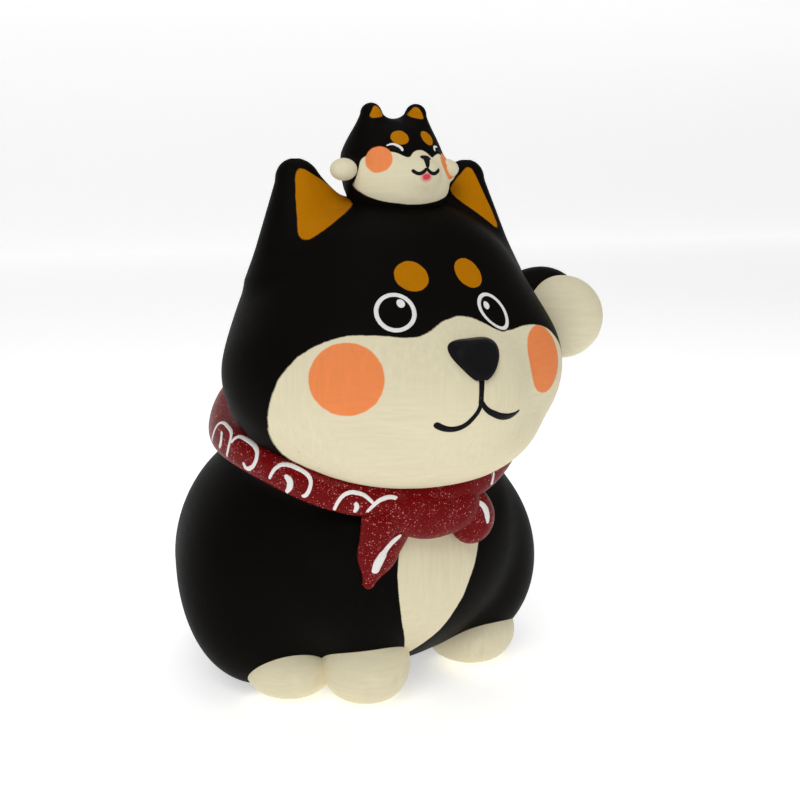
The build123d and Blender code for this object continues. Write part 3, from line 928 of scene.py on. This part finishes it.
def head_paint():
    paint = Paint("head_paint", BLACK, 0.46)
    paint.over(paint.area("white_face", unsteadiness=0.7, softness=0.3), CREAM)
    for x, z in CHEEK_DABS:
        cheek = front_of(head_outside, x, HEAD[2] + z)
        paint.over(paint.dab(tuple(cheek), CHEEK_RADII, softness=0.035), SALMON)
    for x, z, width in BROW_DABS:
        brow = front_of(head_outside, x, HEAD[2] + z)
        paint.over(paint.dab(tuple(brow), (width, 6.0, BROW_HEIGHT)), OCHRE)
    for x, z, width in GLINT_DABS:
        glint = front_of(head_outside, x, HEAD[2] + z)
        paint.over(paint.dab(tuple(glint), (width, 2.0, GLINT_HEIGHT), softness=0.1), CHALK)
    paint.over(paint.area("ear_patch", unsteadiness=0.5, softness=0.25), OCHRE)
    paint.pits(0.10, DUST)
    return paint.done()


def puppy_paint():
    paint = Paint("puppy_paint", BLACK, 0.48)
    paint.over(paint.area("white_face", unsteadiness=0.35, softness=0.2), CREAM)
    for x, z in SMALL_CHEEK_DABS:
        cheek = front_of(puppy_outside, PUPPY[0] + x, PUPPY[2] + z)
        paint.over(paint.dab(tuple(cheek), SMALL_CHEEK_RADII, softness=0.08), SALMON)
    for x, z, width in SMALL_BROW_DABS:
        brow = front_of(puppy_outside, PUPPY[0] + x, PUPPY[2] + z)
        paint.over(paint.dab(tuple(brow), (width, 3.2, SMALL_BROW_HEIGHT), softness=0.08), OCHRE)
    paint.over(paint.area("ear_patch", unsteadiness=0.25, softness=0.2), OCHRE)
    tongue = tuple(front_of(puppy_outside, PUPPY[0] + TONGUE[0], PUPPY[2] + TONGUE[1]))
    paint.over(paint.dab(tongue, TONGUE_BLUSH, softness=0.7), PALE_PINK, 0.0)
    paint.over(paint.dab(tongue, TONGUE_RADII, softness=0.3), ROSE, 0.2)
    paint.pits(0.06, DUST)
    return paint.done()


def scarf_paint():
    paint = Paint("scarf_paint", RED, 0.36, gloss=0.08)
    flecks = paint.group(FLECKS, Size=1.25, Amount=0.9)
    paint.over(flecks.outputs["Mask"], PALE_PINK, thickness=0.25)
    fine = paint.group(FLECKS, Size=2.4, Amount=0.8)
    paint.over(fine.outputs["Mask"], FINE_FLECK, thickness=0.15)
    paint.pits(0.10, RED_DUST)
    return paint.done(bump=0.12)


def line_paint(name, colour, roughness):
    paint = Paint(name, colour, roughness)
    paint.pits(0.10, tuple(0.5 * c + 0.05 for c in colour))
    return paint.done(bump=0.08)


def rubber():
    paint = Paint("stopper_rubber", RUBBER, 0.55)
    paint.shader.inputs["Subsurface Weight"].default_value = 0.15
    paint.shader.inputs["Subsurface Radius"].default_value = (0.004, 0.004, 0.003)
    paint.pits(0.35, RUBBER_DUST)
    return paint.done(bump=0.05)


black = black_paint()
cream = cream_paint()
scarf_red = scarf_paint()
chalk_line = line_paint("chalk_line", CHALK, 0.45)
black_line = line_paint("black_line", LINE_BLACK, 0.30)


# ---------------------------------------------------------------- the pieces
place_camera()
build_studio()

dog_body = skin("dog_body", body_field, body_low, body_high, 1.15)
store(dog_body, "bib", bib_distance(points_of(dog_body)))
finish_piece(dog_body, body_paint(), ["body_shell", "right_foreleg"])

dog_head = skin("dog_head", head_field, head_low, head_high, 1.1)
store(dog_head, "white_face", face_distance(points_of(dog_head)))
store(dog_head, "ear_patch", ear_patch_distance(points_of(dog_head)))
finish_piece(dog_head, head_paint(), ["head_shell"])

PUPPY_SINK = 0.6  # how far it reaches into the head


def puppy_field(p):
    return cut(puppy_outside(p), head_outside(p) + PUPPY_SINK, 0.5)


puppy = skin("puppy_figure", puppy_field, puppy_low, puppy_high, 0.5)
store(puppy, "white_face", puppy_face_distance(points_of(puppy)))
store(puppy, "ear_patch", puppy_ear_distance(points_of(puppy)))
finish_piece(puppy, puppy_paint(), ["puppy"])


TOE_SIDES = (-0.32, 0.36)  # where the dents between toes are, as shares of the foot's half width
TOE_TOP = (-0.98, -0.05)  # share of half length and half height
TOE_END = (-0.86, -0.75)
TOE_SOFT = 2.6
SOLE_EDGE = 5
FOOT_BACK = 1.2
FOOT_DOWN = 0.3


def foot_piece(name, node, half):
    low, high = box_mm(node)
    centre = np.array([(low[0] + high[0]) / 2, low[1] + half[1] + FOOT_BACK, low[2] + half[2] - FOOT_DOWN])

    def field(p):
        form = ball(p, centre, np.array(half))
        for side in TOE_SIDES:
            start = centre + (side * half[0], TOE_TOP[0] * half[1], TOE_TOP[1] * half[2])
            end = centre + (side * half[0], TOE_END[0] * half[1], TOE_END[1] * half[2])
            form = cut(form, rod(p, start, 0.4, end, 0.9), TOE_SOFT)
        return common(form, -p[:, 2], SOLE_EDGE)

    reach = np.array(half) + 1
    piece = skin(name, field, centre - reach, centre + reach, 0.9)
    return finish_piece(piece, cream, [node])


for name, node, half in (
    ("standing_foot", "right_forefoot", (15.3, 16.3, 14.5)),
    ("right_hind_paw", "right_hind_foot", (15.5, 17, 12.5)),
    ("left_hind_paw", "left_hind_foot", (16.6, 17.6, 13.3)),
):
    foot_piece(name, node, half)

PAW = (paw_low + paw_high) / 2
PAW_HALF = (paw_high - paw_low) / 2
ARM_TOP = PAW + (-11.5, 12, -0.5)
ARM_IN = 19
ARM_BACK = 30
ARM_LENGTH = 74
ARM_ROOT = np.array([body_high[0] - ARM_IN, HEAD[1] + ARM_BACK, arm_high[2] - ARM_LENGTH])
ARM_ROOT_RADIUS = 11.5
ARM_TOP_RADIUS = 13.6
WRIST = ((6, -3, 5), (15, 13, 13), 5)
ARM_SINK = 0.8
PAW_SHIFT = (-3.0, -1.4, 0.4)
PAW_GROWTH = (0.8, 0.6, -0.9)


def arm_field(p):
    form = lump(rod(p, ARM_ROOT, ARM_ROOT_RADIUS, ARM_TOP, ARM_TOP_RADIUS), p, ARM_TOP, WRIST)
    return cut(form, head_outside(p) + ARM_SINK, 1.0)


def paw_field(p):
    return ball(p, PAW + PAW_SHIFT, PAW_HALF + PAW_GROWTH)


raised_arm = skin("lifted_arm", arm_field, arm_low, arm_high, 1.1)
finish_piece(raised_arm, black, ["raised_arm"])
raised_paw = skin("lifted_paw", paw_field, paw_low - 3, paw_high, 1.0)
finish_piece(raised_paw, cream, ["raised_paw"])

SMALL_PAW_TRIM = (0.9, 0.7, 1.0)
for side, inward, back in (("right", 1.5, 0), ("left", -4.4, 1.5)):
    node = f"puppy_{side}_paw"
    low, high = box_mm(node)
    middle = (low + high) / 2 + (inward, back, 0)
    half = (high - low) / 2 - SMALL_PAW_TRIM
    piece = skin(f"small_{side}_paw", lambda p: ball(p, middle, half), low, high, 0.4)
    finish_piece(piece, cream, [node])


# ---------------------------------------------------------------- nose
nose_low, nose_high = box_mm("nose")
NOSE = (nose_low + nose_high) / 2


NOSE_CORNERS = ((-11.4, 18.4), (13.8, 19.2), (1.2, 3.6))
NOSE_ROUNDING = 4.0
NOSE_RELIEF = 2.3
NOSE_SWELL = ((0.9, 2.5, 1.0), (9.0, 7.4, 6.5), 2)
NOSE_EDGE = 2.6
NOSE_ROOT = 2


def nose_field(p):
    outline = corner_patch(p, raised(NOSE_CORNERS, HEAD[2]), NOSE_ROUNDING)
    crown = lump(head_outside(p) - NOSE_RELIEF, p, NOSE, NOSE_SWELL)
    return np.maximum(common(outline, crown, NOSE_EDGE), p[:, 1] - nose_high[1] - NOSE_ROOT)


nose = skin("button_nose", nose_field, nose_low - 2, nose_high + 2, 0.5)
finish_piece(nose, black_line, ["nose"])


# ---------------------------------------------------------------- scarf
KNOT = (knot_low + knot_high) / 2
BAND_RADIUS = 48.4
BAND_THICKNESS = 4.8
BAND_HEIGHT = 5.7
BAND_FLARE = 0.25  # how much the lower edge stands out
BAND_SQUARENESS = 2.6
BAND_RISE = 8.6  # the band climbs on the right side
BAND_LEVEL = 0.5
BAND_RISE_AT = -1.15
BAND_RISE_WIDTH = 0.72
KNOT_LUMPS = (
    ((0, 1.0, -3.2), (15.5, 6.5, 10.2), 0),
    ((-9, 0.8, -1.5), (8, 6, 8), 3),
    ((9.5, 1.6, -3.0), (7.5, 5.8, 8.5), 3),
)
KNOT_CREASES = (((-5.5, -6.6, 3), 0.8, (-8.0, -6.1, -11), 1.3), ((4.0, -6.6, 3), 0.8, (7.5, -6.1, -11), 1.3))
CREASE_SOFT = 1.6
POINT_ROOT = (-15.0, 2.5, -7.0)
POINT_BEND = (-17.9, 4.6, -17.0)
POINT_TIP = (-20.6, 5.6, -26.0)
POINT_FLATNESS = 1.9
POINT_SCALE = 1.5
POINT_CREASE = ((-8, -3.5, -1), 0.8, (-17, -1.2, -15), 0.9)
LOBE_OFFSET = (15.9, 3.2, -9.1)
LOBE_HALF = (8.0, 5.4, 8.8)
LOBE_ROOT = ((13.5, 2.8, -4), (7, 5, 6), 2.5)
LOBE_CREASE = ((10.5, -2.8, -12), 0.8, (12.5, -3.0, -1), 0.7)


def band_field(p):
    q = neck_frame(p)
    around = np.arctan2(q[:, 0], -q[:, 1])
    lift = BAND_LEVEL + BAND_RISE * np.exp(-((around - BAND_RISE_AT) / BAND_RISE_WIDTH)**2)
    up = q[:, 2] - lift - 0.3 * np.sin(2 * around + 0.5)
    out = np.hypot(q[:, 0], q[:, 1]) - BAND_RADIUS + BAND_FLARE * up
    out -= 0.4 * np.sin(3 * around + 1.0) + 0.25 * np.sin(7 * around)
    k = np.abs(out / BAND_THICKNESS)**BAND_SQUARENESS + np.abs(up / BAND_HEIGHT)**BAND_SQUARENESS
    return (k**(1 / BAND_SQUARENESS) - 1) * BAND_THICKNESS


def knot_field(p):
    first, *others = KNOT_LUMPS
    form = ball(p, KNOT + first[0], np.array(first[1]))
    for shape in others:
        form = lump(form, p, KNOT, shape)
    for crease in KNOT_CREASES:
        form = cut(form, limb(p, KNOT, crease), CREASE_SOFT)
    return form


def right_tail_field(p):
    root = KNOT + POINT_ROOT
    bend = KNOT + POINT_BEND
    q = p.copy()
    q[:, 1] = root[1] + (p[:, 1] - root[1]) * POINT_FLATNESS
    form = rod(q, root, 9.0, bend, 6.7)
    form = merge(form, rod(q, bend, 6.7, KNOT + POINT_TIP, 2.2), 1.5) / POINT_SCALE
    return cut(form, limb(p, KNOT, POINT_CREASE), 1.5)


def left_tail_field(p):
    form = lump(ball(p, KNOT + LOBE_OFFSET, np.array(LOBE_HALF)), p, KNOT, LOBE_ROOT)
    return cut(form, limb(p, KNOT, LOBE_CREASE), 1.2)


scarf = {}
for name, node, field, step in (
    ("neck_scarf", "scarf_band", band_field, 1.0),
    ("scarf_tie", "scarf_knot", knot_field, 0.7),
    ("pointed_end", "scarf_tail_right", right_tail_field, 0.6),
    ("round_end", "scarf_tail_left", left_tail_field, 0.6),
):
    low, high = box_mm(node)
    scarf[name] = skin(name, field, low - 4, high + 4, step)
    finish_piece(scarf[name], scarf_red, [node])


# ---------------------------------------------------------------- painted lines
def stroke_tree():
    """Brush lines: curves laid on a surface and filled out to low, round-ended ridges of paint."""
    tree = bpy.data.node_groups.new("brush_lines", "GeometryNodeTree")
    for label, kind, default in (
        ("Lines", "NodeSocketGeometry", None),
        ("Surface", "NodeSocketObject", None),
        ("Spacing", "NodeSocketFloat", 0.0003),
        ("Relief", "NodeSocketFloat", 0.35),
        ("Paint", "NodeSocketMaterial", None),
    ):
        socket = tree.interface.new_socket(label, in_out="INPUT", socket_type=kind)
        if default is not None:
            socket.default_value = default
    tree.interface.new_socket("Mesh", in_out="OUTPUT", socket_type="NodeSocketGeometry")
    entry = tree.nodes.new("NodeGroupInput")
    leave = tree.nodes.new("NodeGroupOutput")
    link = tree.links.new

    surface = tree.nodes.new("GeometryNodeObjectInfo")
    link(entry.outputs["Surface"], surface.inputs["Object"])
    spaced = add_node(tree, "GeometryNodeResampleCurve", mode="LENGTH")
    link(entry.outputs["Lines"], spaced.inputs["Curve"])
    link(entry.outputs["Spacing"], spaced.inputs["Length"])

    nearest = add_node(tree, "GeometryNodeProximity", target_element="FACES")
    link(surface.outputs["Geometry"], nearest.inputs[0])
    laid = tree.nodes.new("GeometryNodeSetPosition")
    link(spaced.outputs[0], laid.inputs["Geometry"])
    link(nearest.outputs["Position"], laid.inputs["Position"])

    # Round ends: near each end the radius follows a circle of its own size.
    radius = tree.nodes.new("GeometryNodeInputRadius").outputs[0]
    run = tree.nodes.new("GeometryNodeSplineParameter").outputs["Length"]
    whole = tree.nodes.new("GeometryNodeSplineLength").outputs["Length"]
    to_end = maths(tree, "MINIMUM", run, maths(tree, "SUBTRACT", whole, run))
    share = maths(tree, "SUBTRACT", 1.0, maths(tree, "DIVIDE", to_end, radius), clamp=True)
    circle = maths(tree, "SQRT", maths(tree, "SUBTRACT", 1.0004, maths(tree, "MULTIPLY", share, share)))
    closed = tree.nodes.new("GeometryNodeInputSplineCyclic").outputs[0]
    fullness = maths(tree, "MAXIMUM", circle, closed)
    rounded = maths(tree, "MULTIPLY", radius, fullness)

    facing = add_node(tree, "GeometryNodeSampleNearestSurface", data_type="FLOAT_VECTOR")
    link(surface.outputs["Geometry"], facing.inputs["Mesh"])
    link(tree.nodes.new("GeometryNodeInputNormal").outputs[0], facing.inputs["Value"])
    turned = add_node(tree, "GeometryNodeSetCurveNormal", mode="FREE")
    link(laid.outputs[0], turned.inputs["Curve"])
    link(facing.outputs["Value"], turned.inputs["Normal"])

    section = add_node(tree, "GeometryNodeCurvePrimitiveCircle", mode="RADIUS")
    section.inputs["Resolution"].default_value = 10
    section.inputs["Radius"].default_value = 1.0
    flat = tree.nodes.new("GeometryNodeTransform")
    size = tree.nodes.new("ShaderNodeCombineXYZ")
    size.inputs["Y"].default_value = 1.0
    size.inputs["Z"].default_value = 1.0
    link(entry.outputs["Relief"], size.inputs["X"])
    link(section.outputs[0], flat.inputs["Geometry"])
    link(size.outputs[0], flat.inputs["Scale"])
    ridge = tree.nodes.new("GeometryNodeCurveToMesh")
    link(turned.outputs[0], ridge.inputs["Curve"])
    link(flat.outputs[0], ridge.inputs["Profile Curve"])
    link(rounded, ridge.inputs["Scale"])
    ridge.inputs["Fill Caps"].default_value = True
    smooth = tree.nodes.new("GeometryNodeSetShadeSmooth")
    link(ridge.outputs[0], smooth.inputs["Geometry"])
    real = tree.nodes.new("GeometryNodeRealizeInstances")
    link(smooth.outputs[0], real.inputs["Geometry"])
    painted = tree.nodes.new("GeometryNodeSetMaterial")
    link(real.outputs[0], painted.inputs["Geometry"])
    link(entry.outputs["Paint"], painted.inputs["Material"])
    link(painted.outputs[0], leave.inputs["Mesh"])
    return tree


STROKES = stroke_tree()


def brush_lines(name, surface, lines, material, relief=0.35, spacing=0.3):
    """Lay brush lines on a piece. Each line is (closed, [(point, radius), ...]) in millimetres."""
    data = bpy.data.curves.new(name + "_path", "CURVE")
    data.dimensions = "3D"
    data.resolution_u = 10
    for closed, marks in lines:
        spline = data.splines.new("BEZIER")
        spline.bezier_points.add(len(marks) - 1)
        spline.use_cyclic_u = closed
        for knot, (point, radius) in zip(spline.bezier_points, marks):
            knot.co = Vector(point) * MM
            knot.radius = radius * MM
            knot.handle_left_type = knot.handle_right_type = "AUTO"
    path = bpy.data.objects.new(name + "_path", data)
    bpy.context.scene.collection.objects.link(path)
    modifier = path.modifiers.new("brush_lines", "NODES")
    modifier.node_group = STROKES
    settings = {"Surface": surface, "Spacing": spacing * MM, "Relief": relief, "Paint": material}
    for item in STROKES.interface.items_tree:
        if item.name in settings and item.in_out == "INPUT":
            modifier[item.identifier] = settings[item.name]
    graph = bpy.context.evaluated_depsgraph_get()
    mesh = bpy.data.meshes.new_from_object(path.evaluated_get(graph), depsgraph=graph)
    bpy.data.objects.remove(path)
    bpy.data.curves.remove(data)
    piece = bpy.data.objects.new(name, mesh)
    bpy.context.scene.collection.objects.link(piece)
    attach(piece, "figure")
    return piece


def on_front(field, base, marks):
    """Marks given as (across, up, radius) from a base, laid on the front of a field."""
    return [(front_of(field, base[0] + x, base[2] + z), radius) for x, z, radius in marks]


def ring_on(field, base, x, z, across, up, radius, count=16):
    """A closed line round a place on the front of a field."""
    centre = front_of(field, base[0] + x, base[2] + z)
    _, slope = downhill(field, centre[None])
    normal = slope[0] / np.linalg.norm(slope[0])
    right = np.cross(normal, (0, 0, -1.0))
    right /= np.linalg.norm(right)
    top = np.cross(right, normal) * -1
    turns = np.linspace(0, 2 * math.pi, count, endpoint=False)
    return True, [(centre + across * math.cos(t) * right + up * math.sin(t) * top, radius) for t in turns]


eye_rings = [
    ring_on(head_outside, HEAD, -17.9, 26.2, 5.7, 6.1, 0.72),
    ring_on(head_outside, HEAD, 14.9, 25.0, 4.9, 6.2, 0.66),
]
brush_lines("eye_lines", dog_head, eye_rings, chalk_line, 0.25)

mouth_marks = [
    [(1.1, 8.3, 1.0), (0.7, 3.0, 0.85), (0.7, -0.3, 0.9)],
    [(0.8, 1.0, 0.7), (0.2, -1.5, 0.75), (-1.3, -3.9, 0.8), (-3.3, -6.0, 0.9), (-5.5, -7.0, 1.0),
     (-8.1, -7.1, 1.05), (-10.6, -6.3, 1.15), (-12.5, -5.1, 1.15)],
    [(0.8, 1.0, 0.7), (2.6, -1.3, 0.85), (6.1, -3.4, 1.05), (10.3, -4.9, 1.15), (14.4, -5.3, 1.05),
     (19.1, -4.6, 0.5)],
]
mouth = [(False, on_front(head_outside, HEAD, marks)) for marks in mouth_marks]
brush_lines("mouth_lines", dog_head, mouth, black_line, 0.3)

puppy_white = [
    [(-7.2, 12.1, 0.2), (-5.3, 12.6, 0.42), (-3.9, 12.1, 0.5), (-3.0, 11.4, 0.5), (-2.7, 10.4, 0.45)],
    [(10.0, 10.6, 0.45), (10.3, 11.8, 0.45), (12.1, 12.0, 0.3)],
]
lines = [(False, on_front(puppy_outside, PUPPY, marks)) for marks in puppy_white]
brush_lines("puppy_eye_lines", puppy, lines, chalk_line, 0.3, 0.15)
puppy_black = [
    [(-6.6, 11.4, 0.3), (-4.8, 11.2, 0.75), (-3.2, 10.2, 0.45)],
    [(10.9, 10.8, 0.5), (12.4, 10.2, 0.8), (13.2, 9.6, 0.6)],
    [(2.2, 8.5, 0.9), (4.0, 8.4, 1.3), (6.2, 8.4, 1.0)],
    [(4.2, 8.2, 1.4), (3.7, 7.2, 1.0), (3.1, 5.2, 0.52)],
    [(2.9, 5.2, 0.5), (1.7, 4.1, 0.58), (0.1, 3.5, 0.58), (-1.2, 4.0, 0.58), (-1.9, 4.7, 0.58)],
    [(2.9, 5.2, 0.5), (3.9, 4.0, 0.58), (5.5, 3.5, 0.58), (6.9, 4.0, 0.58), (8.4, 4.9, 0.58)],
]
lines = [(False, on_front(puppy_outside, PUPPY, marks)) for marks in puppy_black]
brush_lines("puppy_face_lines", puppy, lines, black_line, 0.35, 0.15)

# Scarf pattern: each mark is (degrees round the neck, height, radius).
BAND_OUTSIDE = 53.0
band_marks = [
    [(-93.6, 3.2, 0.5), (-92.8, 6.8, 0.6), (-92.5, 9.6, 0.6), (-90.6, 11.4, 0.65), (-86.5, 12.1, 0.65),
     (-82.3, 11.9, 0.65), (-80.0, 10.5, 0.6), (-79.5, 7.9, 0.6), (-79.9, 5.4, 0.5)],
    [(-87.5, 9.5, 0.45), (-85.4, 8.4, 0.75), (-85.1, 6.6, 0.8), (-85.7, 5.2, 0.6)],
    [(-78.8, 9.8, 0.5), (-77.8, 11.8, 0.6), (-76.5, 13.1, 0.65), (-73.9, 13.7, 0.75), (-70.2, 13.9, 0.85),
     (-67.1, 13.2, 0.85), (-65.0, 11.6, 0.75), (-65.1, 8.9, 0.7), (-67.0, 6.9, 0.75), (-69.0, 6.5, 0.8),
     (-70.6, 7.5, 0.6)],
    [(-58.0, 6.5, 0.5), (-57.0, 8.8, 0.6), (-55.6, 10.7, 0.65), (-53.7, 11.8, 0.7), (-51.2, 12.3, 0.75),
     (-48.6, 12.1, 0.75), (-46.2, 11.6, 0.7), (-43.9, 10.6, 0.7), (-42.5, 9.0, 0.65), (-42.6, 6.8, 0.65),
     (-43.6, 5.1, 0.7), (-45.0, 4.2, 0.6)],
    [(-52.2, 9.2, 0.7), (-50.0, 8.2, 1.2), (-49.7, 6.3, 1.1), (-51.2, 4.2, 0.5)],
    [(-34.0, 1.3, 0.5), (-32.7, 4.1, 0.6), (-31.0, 6.1, 0.65), (-28.8, 7.0, 0.7), (-26.2, 6.9, 0.7),
     (-23.9, 6.2, 0.65), (-22.0, 4.8, 0.6), (-20.8, 3.7, 0.5)],
    [(-26.9, 4.3, 0.6), (-26.4, 2.8, 0.85), (-27.3, 0.9, 0.5)],
    [(-23.2, 1.0, 0.45), (-21.3, 2.7, 0.6), (-19.5, 4.1, 0.7), (-17.1, 5.0, 0.75), (-14.4, 5.1, 0.7),
     (-12.4, 4.2, 0.65), (-11.4, 2.7, 0.5)],
    [(27.4, 1.4, 0.5), (25.0, -2.2, 0.8)],
]


def on_band(marks):
    """Marks given round the neck, taken to the ring's outer side."""
    places = []
    for turn, up, radius in marks:
        angle = math.radians(turn)
        reach = BAND_OUTSIDE - BAND_FLARE * up
        spot = np.array([reach * math.sin(angle), -reach * math.cos(angle), up])
        places.append((NECK_TURN @ spot + NECK, radius))
    return places


lines = [(False, on_band(marks)) for marks in band_marks]
brush_lines("scarf_swirls", scarf["neck_scarf"], lines, chalk_line, 0.25)
leaf = [(-12.0, -10.0, 0.4), (-15.0, -12.5, 0.9), (-17.3, -15.3, 1.35), (-19.2, -18.6, 1.6),
        (-20.0, -22.4, 1.2)]
lines = [(False, on_front(right_tail_field, KNOT, leaf))]
brush_lines("scarf_leaf", scarf["pointed_end"], lines, chalk_line, 0.2, 0.2)
crescent = [(13.6, -2.2, 0.5), (16.2, -3.3, 0.9), (18.1, -5.6, 1.2), (18.8, -8.0, 1.1), (19.0, -10.4, 0.5)]
lines = [(False, on_front(left_tail_field, KNOT, crescent))]
brush_lines("scarf_crescent", scarf["round_end"], lines, chalk_line, 0.2, 0.2)


# ---------------------------------------------------------------- tail
tail_low, tail_high = box_mm("tail")
TAIL_IN = 17.5
TAIL = np.array([0, tail_high[1] - TAIL_IN, (tail_low[2] + tail_high[2]) / 2])


TAIL_TURNS = (-95, 190)  # degrees of the curl
TAIL_STEPS = 11
TAIL_CURL = 9.0
TAIL_CURL_LOSS = 2.5
TAIL_RADIUS = 8.2
TAIL_TAPER = 3.4
TAIL_ASIDE = 1.5


def tail_field(p):
    ends = []
    for i, turn in enumerate(np.radians(np.linspace(*TAIL_TURNS, TAIL_STEPS + 1))):
        share = i / TAIL_STEPS
        out = TAIL_CURL - TAIL_CURL_LOSS * share
        spot = TAIL + (TAIL_ASIDE * share, out * math.sin(turn), -out * math.cos(turn))
        ends.append((spot, TAIL_RADIUS - TAIL_TAPER * share))
    form = rod(p, *ends[0], *ends[1])
    for start, end in zip(ends[1:], ends[2:]):
        form = merge(form, rod(p, *start, *end), 0.8)
    return form


tail = skin("curled_tail", tail_field, tail_low - 2, tail_high + 2, 0.9)
finish_piece(tail, black, ["tail"])


# ---------------------------------------------------------------- stopper
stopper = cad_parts["stopper"]
stopper.data.materials.clear()
stopper.data.materials.append(rubber())
